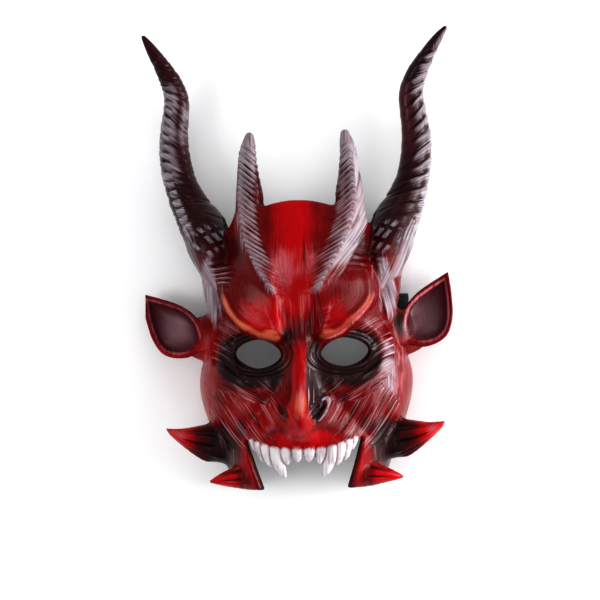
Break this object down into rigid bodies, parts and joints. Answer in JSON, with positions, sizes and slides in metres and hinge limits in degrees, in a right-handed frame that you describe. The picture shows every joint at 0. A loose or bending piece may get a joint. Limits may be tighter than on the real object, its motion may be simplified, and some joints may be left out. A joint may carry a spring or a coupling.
{
  "type": "devil mask",
  "caption": "Moulded foam devil mask with ridged horns, pointed ears, jaw spikes and a row of fangs, on an elastic head strap.",
  "frame": {"origin": "centre of the mask's outline, on the plane that it lies on", "axes": "+X across the face to the viewer's right, +Y from the jaw to the horn tips, +Z out of the face"},
  "size_m": [0.2495, 0.3658, 0.1161],
  "materials": {
    "painted_foam": "semi-gloss paint over moulded foam, red with black, silver and orange",
    "webbing": "ribbed black elastic webbing"
  },
  "bodies": {
    "root": {"mask": "painted_foam", "strap": "webbing"}
  },
  "joints": []
}
